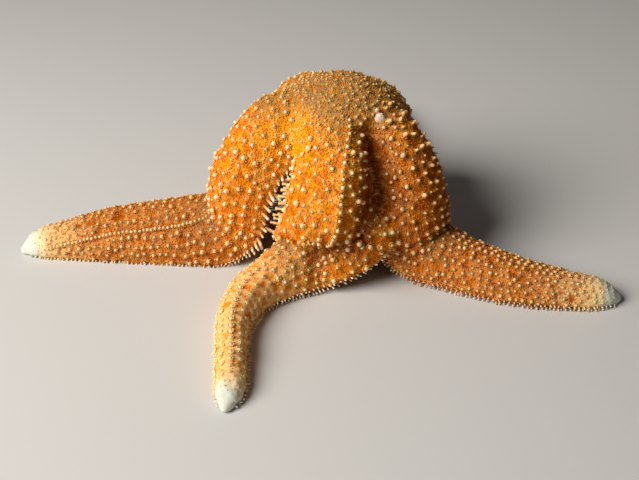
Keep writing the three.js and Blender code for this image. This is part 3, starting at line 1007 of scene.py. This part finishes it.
def spine_finish(name, root, top, lying, lying_share, painted_shade_share=0.0):
    """Root and top are its colours, and lying is the one it takes where an arm lies down, partly a duller
    colour and partly painted shade. The last share is how much painted shade it takes in the valleys and the
    hollow.
    """
    finish = Finish(name, Roughness=0.55, Subsurface_Weight=0.45, Subsurface_Scale=0.0008,
                    Specular_IOR_Level=0.12)
    base = finish.mix(finish.span("height", 0.3, 0.8), root, top)
    base = finish.mix(finish.span("chance", 0.0, 0.5, 0.5, 0.0), base, PALE)
    base = finish.mix(finish.times("lying", lying_share), base, lying)
    # painted shade in the valleys and the hollow
    base = finish.mix(finish.times("depth", painted_shade_share), base, PAINTED_SHADE_ORANGE)
    base = finish.mix(finish.span("distal", 0.3, 1.0, 0.0, 0.7), base, ROSY_CREAM)
    # Sediment on the spines, with painted shade on the crown's top
    dusty_and_shaded = finish.times("silt_and_shade", finish.span(finish.grain(0.9, 3), 0.25, 0.6, 0.0, 0.5))
    finish.colour(whitened(finish, finish.mix(dusty_and_shaded, base, SILT_AND_SHADE)))
    finish.bump(finish.grain(0.25, 2), 0.04)
    return finish.material


# ---- putting the coat on ----

def by_arm(roots):
    """Roots sorted by the arm that they stand on."""
    owner = facts_near(roots[:, :3])[:, 0].astype(int)
    return [(arm.name, roots[owner == arm.index]) for arm in arms]


LONG_SPINES_AT = (24.0, -18.0, 36.0)  # the spines round this place on the hump are the longest
LONG_SPINES_REACH = 13.0
LONGEST = 1.1  # longer than others by this share
LOWER_SHARE = 0.4  # and those of a pale lying part are lower


def grow_spines():
    form = spine_form()
    material = spine_finish("back spines", PALE, CREAM, TAN, 0.35, 0.15)
    for name, roots in by_arm(spines):
        lean = roots.copy()
        lean[:, 3:6] = unit(lean[:, 3:6] + rng.normal(0, 0.1, (len(lean), 3)))
        away = distances(lean[:, :3], LONG_SPINES_AT) / LONG_SPINES_REACH
        lengths = lean[:, 6] * (1 + LONGEST * bell(away))
        lengths *= 1 - LOWER_SHARE * paleness_at(facts_near(lean[:, :3]))
        planted(f"spines_{name}", form, lean, material, lengths)


PINCERS = 10  # in each ring
PINCER_RING = 0.66  # its radius for a spine of size 1
BARE_WHITE = 0.9  # none where an arm's end is whiter


def grow_pincers():
    """A ring of pincers round the foot of every back spine."""
    form = pincer_form()
    material = spine_finish("pincers", RUSTY, AMBER, DULL_RUST, 0.7, 0.8)
    up, size = unit(spines[:, 3:6]), spines[:, 6]
    rings = []
    for k in range(PINCERS):
        turn = 2 * math.pi * k / PINCERS + rng.normal(0, 0.12, len(spines))
        out = square_to(up, turn)
        ring = PINCER_RING * size * rng.uniform(0.9, 1.2, len(spines))
        place = spines[:, :3] + out * ring[:, None] + up * 0.02
        rings.append(np.column_stack([place, up + 0.25 * out, size * rng.uniform(0.75, 1.2, len(spines))]))
    rings = np.concatenate(rings)
    bare = markings(rings[:, :3], rings[:, 3:6])["tip"] > BARE_WHITE
    for name, roots in by_arm(rings[~bare]):
        planted(f"pincers_{name}", form, roots, material)


GILL_ROOM = 0.43  # gills keep this far apart
GILL_TRIES = 210000
SPINE_ROOM = 0.7  # and this far from a spine


def gill_roots():
    """Gills crowd every place of the back that spines and the net leave free."""
    points, normals = scattered(GILL_TRIES)
    pale = paleness_at(facts_near(points))
    net, reach = net_at(points, pale)
    crowd = wander(points, 2.4, 6)
    thinned = net * (0.3 + 0.65 * pale) + 0.1 * pale - 0.25 * crowd
    keep = (reach > SPINE_ROOM) & (rng.uniform(0, 1, len(points)) > thinned)
    white = markings(points, normals)["tip"]
    bed, roots = Bed(1.0), []
    small = 1 - np.maximum(0.65 * white, 0.4 * pale)[keep]
    for point, normal, shrunk in zip(points[keep], normals[keep], small):
        if bed.take(point, GILL_ROOM):
            roots.append((*point, *normal, rng.uniform(0.6, 1.25) * shrunk))
    return np.array(roots)


def grow_gills():
    form, material, roots = gill_form(), gill_finish(), gill_roots()
    for name, part in by_arm(roots):
        planted(f"gills_{name}", form, part, material)


TOOTH_SIZES = {"left": 1.95, "front": 1.2, "usual": 1.5}  # where the arm stands free
LONGER_TEETH = {"left": 6, "usual": 0}  # how much further than the flank they run
MARGIN_END = 2.6  # the comb stops this far from the tip
TOOTH_GAP_SHARE = 0.7  # a margin spine takes up no more of the gap that it points into
TOOTH_ROWS = 2  # this many of the rows have such teeth
ROOT_CLEAR = 0.4  # where a look ahead begins, so that it doesn't meet its own root
SIGHT = 8.0  # and how far it goes
COMB_ROWS = [  # across, rise, side share, back share, size, step
    (1.0, MARGIN_SHARE, 0.95, 0.12, 0.8, 1.2),
    (0.97, 0.02, 0.92, -0.3, 0.85, 1.05),
    (0.62, 0.0, 0.5, -0.8, 0.6, 1.3),
    (FURROW_EDGE + 0.04, 0.0, -0.55, -0.8, 0.65, 0.95),
]


def room_ahead(place, aim):
    """How far a spine can reach from its root before it meets flesh again."""
    met = skin_tree.ray_cast(Vector(place + aim * ROOT_CLEAR), Vector(aim), SIGHT)
    return SIGHT if met[0] is None else met[3] + ROOT_CLEAR


def margin_roots(arm):
    """The comb of spines along both margins and beside the furrow, and how long each spine is."""
    roots, lengths = [], []
    tooth = for_arm(arm, TOOTH_SIZES) - 1
    last = arm.flank_end + for_arm(arm, LONGER_TEETH)
    for sign in (-1, 1):
        for number, (across, rise, out, back, size, step) in enumerate(COMB_ROWS):
            s = CROWN_RUN + 6 + rng.uniform(0, step)
            while s < arm.tip - MARGIN_END:
                free = float(ease(12, 22, s) - ease(last - 1, last + 7, s))
                curl = free * (number < TOOTH_ROWS)
                grown = 1 + tooth * curl
                along = rng.normal(0.12 + 0.35 * free, 0.12)
                outward = arm.at(s, arm.side) * sign * out * (1 - 0.45 * curl)
                upward = arm.at(s, arm.back) * (back - 0.85 * curl)
                aim = unit(outward + upward + arm.at(s, arm.forward) * along)
                hit = on_skin(arm.point(s, sign * across, rise), 1.1)
                if hit is not None and not (number == 1 and rng.uniform() < 0.8 * free):
                    fade = 0.6 + 0.4 * float(ease(0, 12, arm.tip - s))
                    size_here = size * fade * grown * rng.uniform(0.85 - 0.2 * free, 1.15 + 0.15 * free)
                    reach = min(COMB_TOP * size_here, TOOTH_GAP_SHARE * room_ahead(hit[0], aim))
                    roots.append((*hit[0], *aim, size_here))
                    lengths.append(reach / COMB_TOP)
                s += step * rng.uniform(0.85, 1.15) * (1 + 0.55 * curl)
    return np.array(roots), np.array(lengths)


def grow_along(name, form, roots_of, material):
    """Plants what grows along every arm."""
    for arm in arms:
        roots, lengths = roots_of(arm)
        planted(f"{name}_{arm.name}", form, roots, material, lengths)


def grow_margins():
    material = spine_finish("margin spines", PALE, COMB_TOP_PALE, TAN, 0.45)
    grow_along("margin_spines", comb_form(), margin_roots, material)


FREE_FOOT = 7.5  # how far a foot hangs out of its furrow where the arm stands free
CLASPING_ARM = "front"
CLASPING_FROM = 13.0
CLASPING_STEP = 0.8
CLASPING_ROWS = ((-0.96, 3.2), (-0.78, 4.6))  # across and length of the near and the far row
CLASPING_SHARE = 0.85  # of the gap ahead, at most
FOOT_ROWS = (-0.25, -0.1, 0.1, 0.25)  # across
FOOT_STEP = 1.7
PREY_ROOM = ((-4.7, -15.5, -1.0), (20.3, 9.5, 22.5))  # kept clear under the mouth


def in_prey_room(place):
    return all(low < c < high for low, c, high in zip(PREY_ROOM[0], place, PREY_ROOM[1]))


def add_clasping_feet(arm, roots, lengths):
    """Feet that reach from the front arm's left edge across the slit towards the next arm."""
    for number, s in enumerate(np.arange(CLASPING_FROM, arm.flank_end, CLASPING_STEP)):
        across, length = CLASPING_ROWS[number % 2]
        aim = unit(-arm.at(s, arm.side) - 0.25 * arm.at(s, arm.back) + rng.normal(0, 0.1, 3))
        hit = on_skin(arm.point(s, across, 0.0), 1.5)
        if hit is not None:
            room = CLASPING_SHARE * room_ahead(hit[0], aim)
            lengths.append(min(length * rng.uniform(0.85, 1.1), room))
            roots.append((*hit[0], *aim, 1.0))


def foot_roots(arm):
    """The rows of tube feet in the furrow, the clasping feet, and how long each foot is."""
    roots, lengths = [], []
    for across in FOOT_ROWS:
        s = 7.0 + rng.uniform(0, 1)
        while s < arm.tip - 3:
            half, height, _ = arm.section(s)
            depth = furrow_at(across)
            root = arm.point(s, across * SOLE_SHARE, depth)
            aim = unit(-arm.at(s, arm.back) + rng.normal(0, 0.14, 3))
            covered = float(depth * height) + SOLE_LIFT
            free = FREE_FOOT * float(ease(arm.knee_end, arm.flank_end, s)) * rng.uniform(0.3, 1)
            if in_prey_room(root + aim * (covered + free)):
                free = 0.5
            lengths.append(covered + free)
            roots.append((*root, *aim, 0.75 * min(1, float(half) / 7)))
            s += FOOT_STEP * rng.uniform(0.9, 1.1)
    if arm.name == CLASPING_ARM:
        add_clasping_feet(arm, roots, lengths)
    return np.array(roots), np.array(lengths)


def grow_feet():
    material = spine_finish("tube feet", FOOT, SUCKER, TAN, 0.3)
    grow_along("tube_feet", foot_form(), foot_roots, material)


# ---- mouth and sieve plate ----

PLATE_RADIUS = 1.5
PLATE_HEIGHT = 0.75
PLATE_GROOVES = 13
LIP_RADIUS = 2.6
LIP_THICKNESS = 0.75


def plate_finish(name, base, dark, size):
    finish = Finish(name, Roughness=0.6, Subsurface_Weight=0.1, Subsurface_Scale=0.0008)
    finish.colour(finish.mix(finish.span(finish.grain(size, 3), 0.35, 0.65), base, dark))
    finish.bump(finish.grain(size / 2, 2), 0.05)
    return finish.material


def madreporite():
    """The sieve plate: a low button cut by wandering grooves that run out to its rim."""
    low, high = (Vector(c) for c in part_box("madreporite"))
    centre = (low + high) / 2
    hit = on_skin(np.array(centre) / MM, 5.0)
    place, up = Vector(hit[0]), Vector(hit[1])
    bm = bmesh.new()
    bmesh.ops.create_uvsphere(bm, u_segments=64, v_segments=32, radius=1)
    for v in bm.verts:
        turn = math.atan2(v.co.y, v.co.x)
        rim = math.hypot(v.co.x, v.co.y)
        bend = 1.4 * noise.noise(Vector((v.co.x * 2, v.co.y * 2, 3)))
        groove = 0.5 + 0.5 * math.cos(PLATE_GROOVES * turn + 4 * bend + 5 * rim)
        lift = 1 - 0.13 * groove * ease(0.1, 0.5, rim)
        v.co = Vector((v.co.x * PLATE_RADIUS, v.co.y * PLATE_RADIUS, v.co.z * PLATE_HEIGHT)) * float(lift)
    turn_up = Vector((0, 0, 1)).rotation_difference(up).to_matrix().to_4x4()
    stand = Matrix.Scale(MM, 4) @ Matrix.Translation(place) @ turn_up
    bmesh.ops.transform(bm, verts=bm.verts, matrix=stand)
    mesh = mesh_from(bm, "madreporite_plate")
    material = plate_finish("sieve plate", (0.86, 0.72, 0.58), (0.66, 0.45, 0.28), 0.5)
    obj = finished("madreporite_plate", mesh, material)
    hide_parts("madreporite")


def mouth():
    """The soft ring round the mouth, with a puckered lip."""
    low, high = (Vector(c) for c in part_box("mouth"))
    centre = (low + high) / 2
    bm = bmesh.new()
    lip = bmesh.ops.create_circle(bm, segments=12, radius=LIP_THICKNESS * MM)["verts"]
    bmesh.ops.rotate(bm, verts=lip, cent=(0, 0, 0), matrix=Matrix.Rotation(math.pi / 2, 3, "X"))
    bmesh.ops.translate(bm, verts=lip, vec=(LIP_RADIUS * MM, 0, 0))
    bmesh.ops.spin(bm, geom=list(bm.edges) + lip, cent=(0, 0, 0), axis=(0, 0, 1), angle=2 * math.pi,
                   steps=60, use_merge=True)
    bmesh.ops.remove_doubles(bm, verts=bm.verts, dist=0.01 * MM)
    for v in bm.verts:
        turn = math.atan2(v.co.y, v.co.x)
        pucker = 1 + 0.06 * math.cos(5 * turn) + 0.04 * math.cos(25 * turn)
        v.co = Vector((v.co.x * pucker, v.co.y * pucker, v.co.z)) + centre
    bmesh.ops.recalc_face_normals(bm, faces=bm.faces)
    mesh = mesh_from(bm, "mouth_ring")
    material = plate_finish("mouth skin", (0.78, 0.52, 0.32), (0.6, 0.32, 0.16), 0.6)
    obj = finished("mouth_ring", mesh, material)
    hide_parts("mouth")


# ---- stage ----

FLOOR_COLOUR = (0.64, 0.625, 0.60)
WARM = (1, 0.97, 0.94)
LIT_AT = (0, 0, 0.02)  # where the lamps point
AIR = 0.055  # strength of the light from all round
CAMERA_AIM = (2.2, -7.0, 0)  # mm
CAMERA_DISTANCE = 300  # mm
CAMERA_RISE = 34  # degrees above the floor
SENSOR = 36
LENS = 58.2535


def soft_light(name, place, size, power, colour, spread=180):
    """A round lamp of that size in metres and power in watts."""
    data = bpy.data.lights.new(name, "AREA")
    data.shape = "DISK"
    data.size, data.energy, data.color, data.spread = size, power, colour, math.radians(spread)
    lamp = placed(name, data)
    lamp.location = place
    lamp.rotation_euler = (Vector(LIT_AT) - Vector(place)).to_track_quat("-Z", "Y").to_euler()


def studio():
    """Plain pale floor, one soft key from the upper left front and a weak fill."""
    bm = bmesh.new()
    bmesh.ops.create_grid(bm, x_segments=1, y_segments=1, size=3)
    floor = placed("floor", mesh_from(bm, "floor"))
    finish = Finish("studio floor", Roughness=0.8)
    finish.colour(FLOOR_COLOUR)
    floor.data.materials.append(finish.material)
    soft_light("key", (-0.46, -0.27, 0.43), 0.46, 3.05, (1, 0.97, 0.93), spread=120)
    soft_light("fill", (0.5, -0.3, 0.45), 0.6, 0.03, WARM)
    world = bpy.data.worlds.new("studio")
    bpy.context.scene.world = world
    world.use_nodes = True
    air = world.node_tree.nodes["Background"].inputs
    air["Color"].default_value = (*WARM, 1)
    air["Strength"].default_value = AIR
    bpy.context.scene.view_settings.view_transform = "Standard"


def camera():
    """Looks down on the animal from its front, as near as a diver would come."""
    rise = math.radians(CAMERA_RISE)
    back = Vector((0, -math.cos(rise), math.sin(rise)))
    data = bpy.data.cameras.new("camera")
    data.sensor_width, data.lens = SENSOR, LENS
    data.clip_start, data.clip_end = 0.01, 10
    view = placed("camera", data)
    view.location = (Vector(CAMERA_AIM) + back * CAMERA_DISTANCE) * MM
    view.rotation_euler = (-back).to_track_quat("-Z", "Y").to_euler()
    bpy.context.scene.camera = view


skin_points = finish_skin()
skin_tree = tree_of(skin_points)
settle_spines()
spine_map = map_of(spines[:, :3])
crest_map = map_of(crest_places)
skin = finished("skin", skin_mesh, skin_finish())
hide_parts(*[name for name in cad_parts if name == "disc" or name.startswith("arm_")])
grow_spines()
grow_pincers()
grow_gills()
grow_margins()
grow_feet()
madreporite()
mouth()
studio()
camera()
